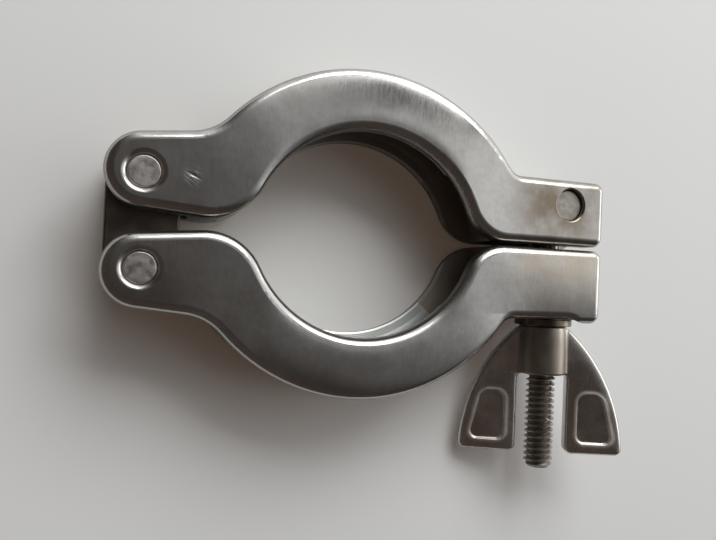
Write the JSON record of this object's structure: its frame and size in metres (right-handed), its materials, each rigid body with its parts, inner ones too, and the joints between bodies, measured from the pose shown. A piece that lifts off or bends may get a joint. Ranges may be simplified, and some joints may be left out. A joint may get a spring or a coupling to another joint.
{
  "type": "vacuum flange clamp",
  "caption": "Hinged clamp whose halves grip mating vacuum pipe flanges in a V groove, closed by a swing bolt with a wing nut.",
  "frame": {"origin": "centre of the lower half's seat arc, on the clamp's mid-plane", "axes": "+X from the hinge to the bolt, +Y from the lower half to the upper half, +Z along the pipe axis"},
  "size_m": [0.11, 0.0805, 0.0172],
  "materials": {
    "cast_stainless": "investment cast stainless steel, faces linished, edges satin",
    "link_steel": "satin stainless steel bar",
    "pin_steel": "turned stainless steel, dull ends",
    "bolt_steel": "machined stainless steel with a rolled thread",
    "washer_steel": "plain stainless steel washer",
    "nut_steel": "polished cast stainless steel"
  },
  "bodies": {
    "lower_half": {"lower_clamp_half": "cast_stainless", "lower_hinge_pin": "pin_steel"},
    "link": {"hinge_link": "link_steel"},
    "upper_half": {"upper_clamp_half": "cast_stainless", "upper_hinge_pin": "pin_steel", "bolt_pin": "pin_steel"},
    "bolt": {"swing_bolt": "bolt_steel"},
    "washer": {"washer": "washer_steel"},
    "wing_nut": {"wing_nut": "nut_steel"}
  },
  "joints": [
    {"name": "link_swing", "type": "hinge", "parent": "lower_half", "child": "link", "pos_m": [-0.0415, -0.0113, 0], "axis": [0, 0, 1], "range_deg": [0, 2.5]},
    {"name": "jaw_swing", "type": "hinge", "parent": "link", "child": "upper_half", "pos_m": [-0.0415, 0.0053, 0], "axis": [0, 0, 1], "range_deg": [0, 2.5]},
    {"name": "bolt_swing", "type": "hinge", "parent": "upper_half", "child": "bolt", "pos_m": [0.04485, 0.006, 0], "axis": [0, 0, 1], "range_deg": [0, 70]},
    {"name": "nut_travel", "type": "slide", "parent": "bolt", "child": "washer", "axis": [0, -1, 0], "range_m": [0, 0.028]},
    {"name": "nut_spin", "type": "hinge", "parent": "washer", "child": "wing_nut", "pos_m": [0.04485, -0.03, 0], "axis": [0, -1, 0], "range_deg": [0, 7920]}
  ],
  "couplings": [
    {"joint": "nut_travel", "follows": "nut_spin", "m_per_rad": 0.00020213},
    {"joint": "bolt_swing", "follows": "nut_spin", "ratio": 0.008838},
    {"joint": "jaw_swing", "follows": "nut_spin", "ratio": 0.000315},
    {"joint": "link_swing", "follows": "nut_spin", "ratio": 0.000315}
  ]
}
